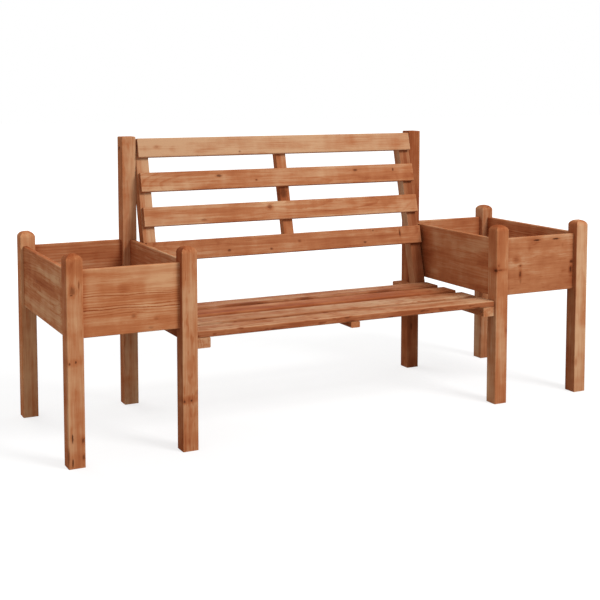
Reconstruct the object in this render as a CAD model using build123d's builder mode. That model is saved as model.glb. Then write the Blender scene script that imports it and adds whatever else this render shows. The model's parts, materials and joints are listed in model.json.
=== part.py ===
"""Wooden garden bench hung between two open planter boxes.

+X runs along the bench, +Y to its back and +Z up. The origin lies on the ground under the
middle of the bench. All sizes are in millimetres.
"""

from build123d import *
import math
import os

# Overall
overall_length = 1900
overall_depth = 620
planter_width = 400

# Posts
post_side = 50
post_edge_radius = 3
short_post_height = 624
short_post_top_radius = 22
tall_post_height = 930
tall_post_top_chamfer = 2

# Planter panels and the stub tenons that hold them in the posts
panel_height = 200
panel_thickness = 16
panel_edge_radius = 3
panel_base_height = 376
front_panel_setback = 17
side_panel_setback = 9
tenon_thickness = 8
tenon_length = 18
tenon_inset = 20
tenon_clearance = 0.2
tenon_end_gap = 1

# Planter floor
cleat_side = 20
floor_board_count = 5
floor_board_thickness = 16
floor_board_gap = 8
floor_edge_chamfer = 2
floor_clearance = 1

# Seat
seat_height = 362
seat_slat_count = 4
seat_slat_width = 82
seat_slat_thickness = 20
seat_slat_gap = 35
seat_slat_edge_radius = 4
seat_slat_end_clearance = 1
seat_front_setback = 9
rail_width = 45
rail_height = 32
rail_edge_radius = 3
rail_end_setback = 10
centre_rail_width = 33
centre_rail_height = 20

# Backrest
back_slat_count = 4
back_slat_width = 67
back_slat_thickness = 18
back_slat_gap = 53
back_slat_edge_radius = 4
back_slat_end_clearance = 5
batten_width = 45
batten_depth = 42
batten_edge_radius = 3
batten_foot_clearance = 1
batten_head_inset = 17
batten_head_drop = 10
centre_batten_width = 33
centre_batten_depth = 20
centre_batten_inset = 6

# Socket head bolts of the batten heads
bolt_diameter = 8
bolt_length = 70
bolt_head_diameter = 13
bolt_head_height = 8
bolt_socket_sides = 6
bolt_socket_radius = 3.5
bolt_socket_depth = 4
bolt_clearance = 0.3
bolt_end_gap = 2
counterbore_diameter = 15
counterbore_depth = 14
head_bolt_drop = 30

# Countersunk bolts of the rails and screws of the batten feet
screw_diameter = 6
screw_head_diameter = 11
screw_length = 78
screw_socket_sides = 6
screw_socket_radius = 2.3
screw_socket_depth = 2.5
screw_clearance = 0.2
screw_end_gap = 2
rail_bolt_tip = 1
foot_screw_tip = 6
countersink_angle = 90

# Places that follow from the sizes above
half_length = overall_length / 2
half_depth = overall_depth / 2
outer_post_x = half_length - post_side / 2
inner_post_x = half_length - planter_width + post_side / 2
inner_face_x = half_length - planter_width
planter_x = half_length - planter_width / 2
post_y = half_depth - post_side / 2
post_gap_x = planter_width - 2 * post_side
post_gap_y = overall_depth - 2 * post_side
panel_mid_height = panel_base_height + panel_height / 2
tenon_height = panel_height - 2 * tenon_inset
cross_panel_y = half_depth - front_panel_setback - panel_thickness / 2
side_panel_offset = planter_width / 2 - side_panel_setback - panel_thickness / 2
cavity_half_width = side_panel_offset - panel_thickness / 2
cavity_half_depth = cross_panel_y - panel_thickness / 2
floor_half_width = cavity_half_width - floor_clearance
floor_half_depth = cavity_half_depth - floor_clearance
floor_gaps = (floor_board_count - 1) * floor_board_gap
floor_board_width = (2 * floor_half_depth - floor_gaps) / floor_board_count
floor_height = panel_base_height + cleat_side
slat_base_height = seat_height - seat_slat_thickness
seat_front_y = seat_front_setback - half_depth
seat_slat_pitch = seat_slat_width + seat_slat_gap
seat_back_y = seat_front_y + seat_slat_count * seat_slat_pitch - seat_slat_gap
rail_half_length = half_depth - rail_end_setback
rail_x = inner_face_x - rail_width / 2
rail_mid_height = slat_base_height - rail_height / 2
rail_base_height = slat_base_height - rail_height

# The side battens lean from just behind the seat to the heads of the tall posts
foot_y = seat_back_y + batten_foot_clearance
head_y = half_depth - post_side + batten_head_inset
head_height = tall_post_height - batten_head_drop
batten_rise = head_height - slat_base_height
recline = math.atan2(head_y - foot_y, batten_rise)
batten_reach = batten_rise / math.cos(recline)
batten_x = inner_face_x - batten_width / 2
lean = (0, math.sin(recline), math.cos(recline))
lean_back = (0, math.cos(recline), -math.sin(recline))
back_foot = (0, foot_y, slat_base_height)
back_slat_pitch = back_slat_width + back_slat_gap
lowest_slat_reach = batten_reach - back_slat_count * back_slat_pitch + back_slat_gap

# Bolt and screw places
bolt_hole_radius = bolt_diameter / 2 + bolt_clearance
bolt_hole_depth = counterbore_depth + bolt_length + bolt_end_gap
head_bolt_height = head_height - head_bolt_drop
head_bolt_front_y = foot_y + (head_bolt_height - slat_base_height) * math.tan(recline)
head_bolt_y = (head_bolt_front_y + half_depth) / 2
screw_grip = screw_length - rail_height
foot_middle_y = foot_y + batten_depth / math.cos(recline) / 2
foot_screw_y = foot_middle_y + screw_grip / 2 * math.tan(recline)
countersink_slope = math.tan(math.radians(countersink_angle / 2))
screw_head_height = (screw_head_diameter - screw_diameter) / 2 / countersink_slope

sides = {"left": -1, "right": 1}
rows = {"front": -1, "back": 1}


def write(piece, label):
    """Label a finished piece and write it to its own file."""
    piece.part.label = label
    export_step(piece.part, f"parts/{label}.step")


def facing(x, y, z, direction):
    """A plane at a point that looks along a direction."""
    return Plane(origin=(x, y, z), z_dir=direction)


def cross_joint(side, row, place):
    """Where a front or back panel meets a post: a plane that looks into the post."""
    outer = place == "outer"
    x = half_length - post_side if outer else inner_face_x + post_side
    middle = (side * x, row * cross_panel_y, panel_mid_height)
    return Plane(origin=middle, x_dir=(0, 0, 1), z_dir=(side if outer else -side, 0, 0))


def side_joint(side, row, place):
    """Where an outer or inner panel meets a post: a plane that looks into the post."""
    middle = (side * side_panel_x(place), row * post_gap_y / 2, panel_mid_height)
    return Plane(origin=middle, x_dir=(0, 0, 1), z_dir=(0, row, 0))


def side_panel_x(place):
    """Distance from the middle of the bench to the middle of a side panel's thickness."""
    return planter_x + (side_panel_offset if place == "outer" else -side_panel_offset)


def rail_bolt_plane(side, row):
    """Where a rail bolt goes in: on the rail's open face, looking away from the post."""
    return facing(side * (inner_face_x - rail_width), row * post_y, rail_mid_height, (-side, 0, 0))


def head_bolt_plane(side):
    """Where a batten's head bolt goes in: on the far face of the tall post."""
    return facing(side * (inner_face_x + post_side), head_bolt_y, head_bolt_height, (side, 0, 0))


def foot_screw_plane(side):
    """Where the screw of a batten's foot goes in: under the side rail, looking down."""
    return facing(side * batten_x, foot_screw_y, rail_base_height, (0, 0, -1))


def add_tenons(planes):
    """Stub tenons on the ends of the panel being built."""
    with BuildSketch(*planes) as shoulders:
        Rectangle(tenon_height, tenon_thickness)
    extrude(shoulders.sketch, amount=tenon_length)


def cut_mortises(planes):
    """Mortises for stub tenons in the post being built."""
    with BuildSketch(*planes) as mouths:
        Rectangle(tenon_height + 2 * tenon_clearance, tenon_thickness + 2 * tenon_clearance)
    extrude(mouths.sketch, amount=tenon_length + tenon_end_gap, mode=Mode.SUBTRACT)


def drill_bolt_hole(plane):
    """A bolt's sunk hole, cut through whatever part of its run is in the piece being built."""
    with Locations(plane):
        CounterBoreHole(bolt_hole_radius, counterbore_diameter / 2, counterbore_depth, bolt_hole_depth)


def drill_screw_hole(plane):
    """A countersunk hole, cut through whatever part of its run is in the piece being built."""
    with Locations(plane):
        CounterSinkHole(
            screw_diameter / 2 + screw_clearance,
            screw_head_diameter / 2 + screw_clearance,
            screw_length + screw_end_gap,
            countersink_angle,
        )


def make_post(side_name, place, row_name):
    """A planter post: short with a rounded top, or tall where it carries the backrest."""
    side = sides[side_name]
    row = rows[row_name]
    tall = place == "inner" and row_name == "back"
    height = tall_post_height if tall else short_post_height
    x = side * (outer_post_x if place == "outer" else inner_post_x)
    y = row * post_y
    front_view = Plane(origin=(x, y, 0), x_dir=(1, 0, 0), z_dir=(0, -1, 0))
    side_view = Plane(origin=(x, y, 0), x_dir=(0, 1, 0), z_dir=(1, 0, 0))
    with BuildPart() as post:
        with BuildSketch(Plane(origin=(x, y, 0))):
            RectangleRounded(post_side, post_side, post_edge_radius)
        extrude(amount=height)
        if tall:
            chamfer(post.edges().group_by(Axis.Z)[-1], tall_post_top_chamfer)
        else:
            for view in (front_view, side_view):
                with BuildSketch(view) as outline:
                    Rectangle(post_side, height, align=(Align.CENTER, Align.MIN))
                    fillet(outline.vertices().group_by(Axis.Y)[-1], short_post_top_radius)
                extrude(amount=post_side, both=True, mode=Mode.INTERSECT)
        cut_mortises([cross_joint(side, row, place), side_joint(side, row, place)])
        if place == "inner":
            drill_screw_hole(rail_bolt_plane(side, row))
        if tall:
            drill_bolt_hole(head_bolt_plane(side))
    name = "back_tall_post" if tall else f"{row_name}_{place}_post"
    write(post, f"{side_name}_{name}")


def make_cross_panel(side_name, row_name):
    """The front or back panel of a planter, tenoned between an outer and an inner post."""
    side = sides[side_name]
    row = rows[row_name]
    middle = (side * planter_x, row * cross_panel_y, panel_mid_height)
    with BuildPart() as panel:
        with BuildSketch(Plane(origin=middle, x_dir=(0, 1, 0), z_dir=(1, 0, 0))):
            RectangleRounded(panel_thickness, panel_height, panel_edge_radius)
        extrude(amount=post_gap_x / 2, both=True)
        add_tenons([cross_joint(side, row, place) for place in ("outer", "inner")])
    write(panel, f"{side_name}_{row_name}_panel")


def make_side_panel(side_name, place):
    """The outer or inner panel of a planter, tenoned between a front and a back post."""
    side = sides[side_name]
    middle = (side * side_panel_x(place), 0, panel_mid_height)
    with BuildPart() as panel:
        with BuildSketch(Plane(origin=middle, x_dir=(1, 0, 0), z_dir=(0, -1, 0))):
            RectangleRounded(panel_thickness, panel_height, panel_edge_radius)
        extrude(amount=post_gap_y / 2, both=True)
        add_tenons([side_joint(side, row, place) for row in rows.values()])
    write(panel, f"{side_name}_{place}_panel")


def make_cleat(side_name, place):
    """A cleat along the foot of a side panel, which carries one end of the floor boards."""
    side = sides[side_name]
    reach = cavity_half_width - cleat_side / 2
    x = side * (planter_x + (reach if place == "outer" else -reach))
    middle = (x, 0, floor_height - cleat_side / 2)
    with BuildPart() as cleat:
        with BuildSketch(Plane(origin=middle, x_dir=(1, 0, 0), z_dir=(0, -1, 0))) as section:
            Rectangle(cleat_side, cleat_side)
            chamfer(section.vertices(), floor_edge_chamfer)
        extrude(amount=post_gap_y / 2 - floor_clearance, both=True)
    write(cleat, f"{side_name}_{place}_cleat")


def make_floor_board(side_name, number):
    """A floor board across a planter, notched where it meets a post."""
    side = sides[side_name]
    first_y = floor_board_width / 2 - floor_half_depth
    y = first_y + (number - 1) * (floor_board_width + floor_board_gap)
    middle = (side * planter_x, y, floor_height + floor_board_thickness / 2)
    post_xs = (side * outer_post_x, side * inner_post_x)
    posts = [(x, row * post_y, 0) for x in post_xs for row in rows.values()]
    with BuildPart() as board:
        with BuildSketch(Plane(origin=middle, x_dir=(0, 1, 0), z_dir=(1, 0, 0))) as section:
            Rectangle(floor_board_width, floor_board_thickness)
            chamfer(section.vertices(), floor_edge_chamfer)
        extrude(amount=floor_half_width, both=True)
        notch_side = post_side + 2 * floor_clearance
        with BuildSketch(Plane.XY):
            with Locations(*posts):
                Rectangle(notch_side, notch_side)
        extrude(amount=short_post_height, mode=Mode.SUBTRACT)
    write(board, f"{side_name}_floor_board_{number}")


def make_seat_slat(number):
    """A seat slat between the planters, numbered from the front."""
    y = seat_front_y + seat_slat_width / 2 + (number - 1) * seat_slat_pitch
    middle = (0, y, seat_height - seat_slat_thickness / 2)
    with BuildPart() as slat:
        with BuildSketch(Plane(origin=middle, x_dir=(0, 1, 0), z_dir=(1, 0, 0))):
            RectangleRounded(seat_slat_width, seat_slat_thickness, seat_slat_edge_radius)
        extrude(amount=inner_face_x - seat_slat_end_clearance, both=True)
    write(slat, f"seat_slat_{number}")


def make_side_rail(side_name):
    """The rail under one end of the seat, bolted to the posts, with its batten standing on it."""
    side = sides[side_name]
    middle = (side * rail_x, 0, rail_mid_height)
    with BuildPart() as rail:
        with BuildSketch(Plane(origin=middle, x_dir=(1, 0, 0), z_dir=(0, -1, 0))):
            RectangleRounded(rail_width, rail_height, rail_edge_radius)
        extrude(amount=rail_half_length, both=True)
        for row in rows.values():
            drill_screw_hole(rail_bolt_plane(side, row))
        drill_screw_hole(foot_screw_plane(side))
    write(rail, f"seat_rail_{side_name}")


def make_centre_rail():
    """The thin rail that ties the seat slats together at mid length."""
    front_end = (0, -rail_half_length, slat_base_height - centre_rail_height / 2)
    with BuildPart() as rail:
        with BuildSketch(Plane(origin=front_end, x_dir=(-1, 0, 0), z_dir=(0, 1, 0))):
            RectangleRounded(centre_rail_width, centre_rail_height, rail_edge_radius)
        extrude(amount=seat_back_y + rail_half_length)
    write(rail, "seat_rail_centre")


def make_side_batten(side_name):
    """A leaning batten, cut level at its foot and head and plumb where it would pass the tall post."""
    side = sides[side_name]
    below = batten_depth * math.tan(recline)
    above = batten_reach + below
    foot = Vector(back_foot) + Vector(side * batten_x, 0, 0)
    start = foot + Vector(lean_back) * (batten_depth / 2) - Vector(lean) * below
    with BuildPart() as batten:
        with BuildSketch(Plane(origin=start, x_dir=(1, 0, 0), z_dir=lean)):
            RectangleRounded(batten_width, batten_depth, batten_edge_radius)
        extrude(amount=above + below)
        split(bisect_by=Plane.XY.offset(slat_base_height), keep=Keep.TOP)
        split(bisect_by=Plane.XY.offset(head_height), keep=Keep.BOTTOM)
        split(bisect_by=Plane.XZ.offset(-half_depth), keep=Keep.TOP)
        drill_bolt_hole(head_bolt_plane(side))
        drill_screw_hole(foot_screw_plane(side))
    write(batten, f"back_batten_{side_name}")


def make_centre_batten():
    """The thin batten that ties the back slats together at mid length."""
    run = batten_reach - lowest_slat_reach - 2 * centre_batten_inset
    foot = lowest_slat_reach + centre_batten_inset
    start = Vector(back_foot) + Vector(lean_back) * (centre_batten_depth / 2) + Vector(lean) * foot
    with BuildPart() as batten:
        with BuildSketch(Plane(origin=start, x_dir=(1, 0, 0), z_dir=lean)):
            RectangleRounded(centre_batten_width, centre_batten_depth, batten_edge_radius)
        extrude(amount=run)
    write(batten, "back_batten_centre")


def make_back_slat(number):
    """A back slat on the battens' front faces, numbered from the bottom."""
    reach = lowest_slat_reach + back_slat_width / 2 + (number - 1) * back_slat_pitch
    middle = Vector(back_foot) - Vector(lean_back) * (back_slat_thickness / 2) + Vector(lean) * reach
    with BuildPart() as slat:
        with BuildSketch(Plane(origin=middle, x_dir=lean_back, z_dir=(1, 0, 0))):
            RectangleRounded(back_slat_thickness, back_slat_width, back_slat_edge_radius)
        extrude(amount=inner_face_x - back_slat_end_clearance, both=True)
    write(slat, f"back_slat_{number}")


def make_head_bolts():
    """The socket head bolts of the batten heads, each seated on the floor of its counterbore."""
    with BuildPart() as bolts:
        for side in sides.values():
            seat = head_bolt_plane(side).offset(-counterbore_depth)
            with BuildSketch(seat):
                Circle(bolt_head_diameter / 2)
            extrude(amount=bolt_head_height)
            with BuildSketch(seat):
                Circle(bolt_diameter / 2)
            extrude(amount=-bolt_length)
            with BuildSketch(seat.offset(bolt_head_height)):
                RegularPolygon(bolt_socket_radius, bolt_socket_sides)
            extrude(amount=-bolt_socket_depth, mode=Mode.SUBTRACT)
    write(bolts, "batten_head_bolts")


def make_countersunk(label, planes, tip_length):
    """A group of countersunk bolts or screws, flush with the faces they go in at."""
    with BuildPart() as group:
        for plane in planes:
            axis_view = Plane(origin=plane.origin, x_dir=plane.x_dir, z_dir=plane.y_dir)
            with BuildSketch(axis_view):
                with BuildLine():
                    Polyline(
                        (0, 0),
                        (screw_head_diameter / 2, 0),
                        (screw_diameter / 2, screw_head_height),
                        (screw_diameter / 2, screw_length - tip_length),
                        (0, screw_length),
                        close=True,
                    )
                make_face()
            revolve(axis=Axis(plane.origin, plane.z_dir))
            with BuildSketch(plane):
                RegularPolygon(screw_socket_radius, screw_socket_sides)
            extrude(amount=-screw_socket_depth, mode=Mode.SUBTRACT)
    write(group, label)


os.makedirs("parts", exist_ok=True)

for side_name in sides:
    for row_name in rows:
        for place in ("outer", "inner"):
            make_post(side_name, place, row_name)
        make_cross_panel(side_name, row_name)
    for place in ("outer", "inner"):
        make_side_panel(side_name, place)
        make_cleat(side_name, place)
    for number in range(1, floor_board_count + 1):
        make_floor_board(side_name, number)
    make_side_rail(side_name)
    make_side_batten(side_name)

make_centre_rail()
make_centre_batten()
for number in range(1, seat_slat_count + 1):
    make_seat_slat(number)
for number in range(1, back_slat_count + 1):
    make_back_slat(number)
make_head_bolts()
rail_bolt_planes = [rail_bolt_plane(side, row) for side in sides.values() for row in rows.values()]
make_countersunk("rail_bolts", rail_bolt_planes, rail_bolt_tip)
foot_screw_planes = [foot_screw_plane(side) for side in sides.values()]
make_countersunk("batten_foot_screws", foot_screw_planes, foot_screw_tip)
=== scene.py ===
"""Finish and stage for a wooden garden bench that hangs between two planter boxes."""

import json
import math
import random

import bmesh
import bpy
from bpy.props import FloatProperty, FloatVectorProperty, PointerProperty
from mathutils import Matrix, Vector
from mathutils.bvhtree import BVHTree

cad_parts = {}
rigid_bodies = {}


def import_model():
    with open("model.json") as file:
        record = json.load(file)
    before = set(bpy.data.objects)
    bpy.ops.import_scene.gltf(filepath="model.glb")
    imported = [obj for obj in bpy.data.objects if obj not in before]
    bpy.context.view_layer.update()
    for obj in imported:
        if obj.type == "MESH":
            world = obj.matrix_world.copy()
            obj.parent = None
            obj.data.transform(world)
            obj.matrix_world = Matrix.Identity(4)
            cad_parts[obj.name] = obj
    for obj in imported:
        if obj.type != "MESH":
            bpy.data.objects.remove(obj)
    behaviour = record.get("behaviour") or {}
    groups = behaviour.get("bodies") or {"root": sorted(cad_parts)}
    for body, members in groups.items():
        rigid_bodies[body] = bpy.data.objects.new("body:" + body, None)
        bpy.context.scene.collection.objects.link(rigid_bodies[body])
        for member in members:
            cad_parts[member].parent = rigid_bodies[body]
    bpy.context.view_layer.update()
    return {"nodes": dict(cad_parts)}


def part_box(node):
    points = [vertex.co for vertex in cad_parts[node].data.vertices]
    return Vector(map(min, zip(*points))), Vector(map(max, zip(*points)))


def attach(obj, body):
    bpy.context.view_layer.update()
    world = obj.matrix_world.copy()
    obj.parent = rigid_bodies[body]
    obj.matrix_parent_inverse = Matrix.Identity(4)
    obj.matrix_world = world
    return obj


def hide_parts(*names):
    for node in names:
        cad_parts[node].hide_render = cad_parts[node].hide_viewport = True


bl_info = {
    "name": "Planter Bench Finish",
    "version": (1, 0, 0),
    "blender": (4, 5, 0),
    "location": "View3D > Sidebar > Bench",
    "description": "Stains the boards of a garden bench, adds its wood screws and sets the stage",
    "category": "Object",
}

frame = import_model()

SIDES = ("left", "right")
SUPPORT_PLACES = (*SIDES, "centre")
POST_PLACES = ("front_outer_post", "front_inner_post", "back_outer_post", "back_tall_post")
CROSS_PANEL_PLACES = ("front_panel", "back_panel")
SIDE_PANEL_PLACES = ("outer_panel", "inner_panel")
CLEAT_PLACES = ("outer", "inner")
FLOOR_BOARD_COUNT = 5
SLAT_COUNT = 4
MM = 0.001

# Bolts and screws whose heads lie flush with the wood
FLUSH_FASTENERS = ("rail_bolts", "batten_foot_screws")

# Boards that the scene makes itself, and the pieces that stand for them
STAND_INS = {"back_batten_centre": "centre_batten"}

# Places of the small screws in metres: off the middle of the board that they hold, or of the bench
BATTEN_SCREW_STEPS = (-0.009, 0.009)
BATTEN_SCREW_DROP = 0.008
RAIL_SCREW_STEPS = (-0.014, 0.014)
CLEAT_SCREW_DEPTHS = (-0.2, 0.0, 0.2)
FLOOR_SCREW_STEPS = (-0.025, 0.025)

# Where the lines that seat a screw start: this far behind the backrest, and at these heights
BEHIND_BACKREST = 0.2
UNDER_SEAT = 0.1
ABOVE_PLANTERS = 1.0

# Specular level of the stained boards, of the seat, which is rubbed smoother, and of the fasteners
WOOD_SHEEN = 0.004
SEAT_SHEEN = 0.02
FASTENER_SHEEN = 0.02

# Lamps, camera sensor in millimetres, and the glow of the floor from near the bench to far off
LAMP_TARGET = (0, 0, 0.4)
KEY_LAMP_PLACE, KEY_LAMP_SIZE = (2.0, -4.2, 4.2), 1.8
RIM_LAMP_PLACE, RIM_LAMP_SIZE = (-1.5, 4.5, 3.2), 3.0
SENSOR_WIDTH = 36
SHADOW_GREY = (0.30, 0.30, 0.30, 1)
GLOW_NEAR, GLOW_FAR = 1.4, 3.2
NEAR_GLOW, FAR_GLOW = 0.74, 1.0

# Noise in the wood: how fine it is along, across and through a board, and its detail
WOOD_NOISE = {
    "wander": ((1.7, 0.4, 0.4), 1),
    "ripple": ((11, 34, 34), 2),
    "clear": ((1.3, 9, 9), 2),
    "ragged_edge": ((26, 60, 60), 3),
    "cloud": ((4.4, 17, 17), 3),
    "streak": ((1.5, 46, 46), 3),
    "line": ((5.0, 165, 165), 2),
    "fibre": ((14, 480, 480), 2),
    "painted_shimmer": ((24, 13, 13), 2),
    "fleck": ((26, 120, 120), 1),
}
YEAR_NOISE = ((0.61, 1.3, 1), 0)
MARK_NOISE = ((160, 420, 420), 2)

# How far each of them moves the wood's darkness from what most of a face shows: the stain that the wood
# took, the shimmer, which is painted sheen across the grain, the halos of marks, a few of which are painted
# shade, and the pale edges, which are wear and a painted highlight
MEAN_STAIN = 0.46
DARKNESS_MOVES = {
    "cloud": 1.35,
    "streak": 0.85,
    "line": 0.62,
    "fibre": 0.55,
    "painted_shimmer": 0.50,
    "ring": 0.80,
    "halo": 0.50,
    "fleck": 0.60,
    "worn_and_highlit": -0.45,
}

# Lengths in the wood, in metres: push of ripples and knots on the rings, width and wobble of the pale edges,
# which are wear and a painted highlight
RIPPLE_PUSH = 0.010
KNOT_PUSH = 0.014
PALE_EDGE_WIDTH = 0.006
PALE_EDGE_WOBBLE = 0.010

# What differs from board to board by chance
TONE_SPREAD = (-0.08, 0.08)
HEART_ACROSS = (-0.6, 0.6)
HEART_AWAY = (0.015, 0.05)
SEEDS = (1, 30)
RING_SPREAD = (0.75, 1.25)
SWEEP_SPREAD = (0.0, 0.3)
WANDER, SWEPT_WANDER = 0.05, 0.012

# Strength of the bump on wood and on fasteners, and the height of the fasteners' patches
WOOD_BUMP = 0.5
FASTENER_BUMP = 0.3
PATCH_HEIGHT = 0.0002

# Knots, splits and darker stretches that show, and a few painted shadows noted below: place along and across
# the board and radius in millimetres, stretch along the grain, depth of the dark heart and depth of the halo
MARKS = {
    "left_front_outer_post": (
        (265, -6, 26, 1.6, 0.0, 0.60),
        (207, -7, 11, 1.4, 0.5, 1.1),
        (195, -10, 5, 0.5, 0.8, 0.9),
        (222, 12, 3, 5.0, 0.5, 0.7),
        (-3, -18, 4, 1.3, 0.8, 0.7),
        (0, 0, 4, 1.3, 0.8, 0.7),
        (-2, -8, 18, 0.4, 0.0, 0.5),
        (-222, -13, 3.2, 6.5, 1.0, 0.3),
        (-293, -13, 3.4, 5.0, 1.0, 0.4),
        (-231, 18, 6, 1.7, 0.6, 0.8),
        (-281, 19, 5, 2.0, 0.6, 0.8),
        (-285, 0, 26, 1.4, 0.0, 0.35),
        (-275, -25, 5, 6.0, 0.5, 0.5),
        (170, -10, 22, 2.2, 0.0, 0.48),
        (-170, 0, 26, 3.0, 0.0, 0.36),
    ),
    "left_front_inner_post": (
        (-157, -20, 4, 1.3, 0.9, 0.8),
        (-156, 3, 4, 1.3, 0.9, 0.8),
        (-152, 0, 24, 0.35, 0.0, 0.9),
        (-135, 22, 7, 1.3, 0.2, 0.7),
        (-255, 0, 26, 3.0, 0.0, 0.48),
        (-110, 0, 24, 2.0, 0.0, 0.24),
        (240, 0, 26, 3.0, 0.0, 0.48),
    ),
    "right_front_inner_post": (
        (157, -25, 6, 1.3, 0.9, 0.8),
        (158, -10, 15, 0.22, 0.5, 0.6),
        (173, -16, 4, 1.2, 0.4, 0.5),
        (-55, 22, 5, 1.6, 0.3, 0.7),
    ),
    "right_front_outer_post": (
        (-201, -17, 5, 3.0, 0.15, 0.8),
        (-48, 14, 12, 1.6, 0.0, 0.5),
        (-250, 0, 26, 2.5, 0.0, 0.32),
        (250, 0, 26, 2.0, 0.0, 0.16),
    ),
    "left_back_outer_post": ((-150, 0, 26, 3.0, 0.0, 0.1),),
    "left_back_tall_post": ((-270, 0, 28, 3.0, 0.0, 0.12),),
    "right_back_tall_post": (
        (330, 0, 60, 3.0, 0.0, 0.25),
        (235, 10, 22, 1.6, 0.0, 0.6),
        (-300, -8, 6, 3.0, 0.6, 0.6),
        (-190, 12, 5, 2.0, 0.6, 0.6),
        # Painted shade on the post just under the seat
        (-255, 0, 28, 1.6, 0.0, 0.8),
    ),
    "left_front_panel": (
        (-115, 80, 10, 2.2, 0.0, 0.6),
        (-28, 36, 12, 1.2, 0.0, 0.75),
        (5, -48, 7, 1.2, 0.3, 0.9),
        (75, -63, 5, 1.6, 0.2, 0.7),
        (57, -88, 5, 2.2, 0.3, 0.7),
        (-20, -86, 16, 9.0, 0.0, 0.85),
        (-120, -8, 16, 2.0, 0.0, 0.4),
        (10, -2, 12, 12.0, 0.0, 0.5),
        (-95, 30, 45, 1.3, 0.0, 0.48),
        (-50, -24, 34, 1.6, 0.0, 0.75),
    ),
    "left_outer_panel": (
        (60, 24, 13, 12.0, 0.0, 0.8),
        (-80, 8, 10, 8.0, 0.0, 0.6),
        (70, 14, 4, 6.0, 0.3, 0.5),
        (-225, 20, 48, 0.35, 0.0, 0.55),
        (-205, 62, 8, 0.6, 0.15, 0.6),
        (250, 60, 60, 1.6, 0.0, 1.1),
        (-60, 92, 18, 9.0, 0.0, 0.75),
        (130, -70, 40, 1.5, 0.0, 0.4),
    ),
    "right_front_panel": (
        (-103, 21, 10, 1.1, 0.2, 0.9),
        (-86, 0, 5, 1.3, 0.6, 0.8),
        (-86, -30, 15, 0.36, 0.8, 0.8),
        (-84, -54, 14, 0.3, 0.3, 0.5),
        (140, 0, 7, 1.1, 0.9, 0.7),
        (138, -28, 16, 0.4, 0.9, 0.8),
        (-15, 86, 4.4, 4.4, 1.0, 0.4),
        (69, 86, 4.4, 4.6, 1.0, 0.4),
        (100, 61, 8, 0.6, 0.1, 0.5),
        (-47, 58, 8, 0.6, 0.1, 0.5),
        (15, -88, 26, 3.2, 0.0, 0.54),
        (55, 25, 36, 1.6, 0.0, 0.4),
        (-150, -40, 40, 0.8, 0.0, 0.2),
    ),
    "right_inner_panel": (
        # Painted shade at the back end of the panel, in the narrow gap beside the batten and the slats' ends
        (175, -10, 75, 0.55, 0.0, 1.1),
        (0, -70, 36, 8.0, 0.0, 0.45),
        (-225, 0, 60, 0.5, 0.0, 0.3),
        (-150, -70, 24, 2.5, 0.0, 0.65),
        (150, -75, 30, 0.8, 0.0, 1.4),
    ),
    "back_slat_4": (
        (-169, -22, 4, 1.4, 0.6, 0.6),
        (-479, 2, 6, 1.8, 0.15, 0.4),
        (-150, 0, 28, 3.5, 0.0, 0.36),
        (350, 0, 28, 4.0, 0.0, 0.48),
    ),
    "back_slat_3": (
        (-258, 13, 6, 2.4, 0.8, 0.8),
        (-115, -7, 4, 1.3, 0.7, 0.7),
        (292, 15, 6, 2.0, 0.7, 0.7),
        (456, 12, 8, 0.6, 0.8, 0.8),
        (-240, 0, 28, 3.5, 0.0, 0.46),
        (430, 4, 28, 5.0, 0.0, 0.62),
        (230, 4, 26, 2.0, 0.0, 0.3),
    ),
    "back_slat_2": (
        (-73, 14, 10, 1.2, 0.45, 0.9),
        (-330, -20, 5, 3.0, 0.4, 0.5),
        (-340, 0, 28, 4.0, 0.0, 0.28),
        (-50, 0, 26, 3.0, 0.0, 0.2),
        (215, 4, 28, 2.2, 0.0, 0.58),
        (360, 0, 28, 3.0, 0.0, 0.34),
    ),
    "back_slat_1": (
        (-246, -12, 6, 1.4, 0.7, 0.8),
        (-84, -17, 5, 1.4, 0.7, 0.8),
        (30, 4, 5, 1.4, 0.4, 0.6),
        (299, -17, 6, 1.4, 0.7, 0.8),
        (338, 24, 4, 1.5, 0.5, 0.6),
        (453, 8, 16, 0.25, 0.9, 0.8),
        (-190, 0, 30, 4.5, 0.0, 0.52),
        (310, 4, 30, 3.0, 0.0, 0.78),
    ),
    "back_batten_centre": ((4, -5, 19, 1.4, 0.7, 1.0),),
    "seat_slat_2": ((-180, 0, 30, 2.0, 0.0, 0.36), (310, 0, 34, 4.0, 0.0, 0.46)),
    "seat_slat_3": ((-223, -19, 14, 8.0, 0.0, 0.5), (240, 6, 10, 7.0, 0.0, 0.4)),
    # Painted shade: dark streaks along the front edge of this slat, for the shade in the gap in front of it
    "seat_slat_4": (
        (-225, -40, 9, 6.0, 0.3, 1.0),
        (-6, -40, 8, 3.0, 0.25, 0.9),
        (311, -40, 9, 4.0, 0.25, 0.9),
    ),
    "seat_slat_1": (
        (-424, 0, 4, 5.0, 0.4, 0.6),
        (-181, -12, 4, 4.0, 0.4, 0.6),
        (200, 5, 3, 4.0, 0.4, 0.6),
        (-200, -43, 4, 12.0, 0.0, 0.6),
        (360, -43, 4, 12.0, 0.0, 0.65),
        (-330, 0, 34, 4.0, 0.0, 0.44),
        (280, 0, 34, 4.5, 0.0, 0.5),
    ),
}
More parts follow.
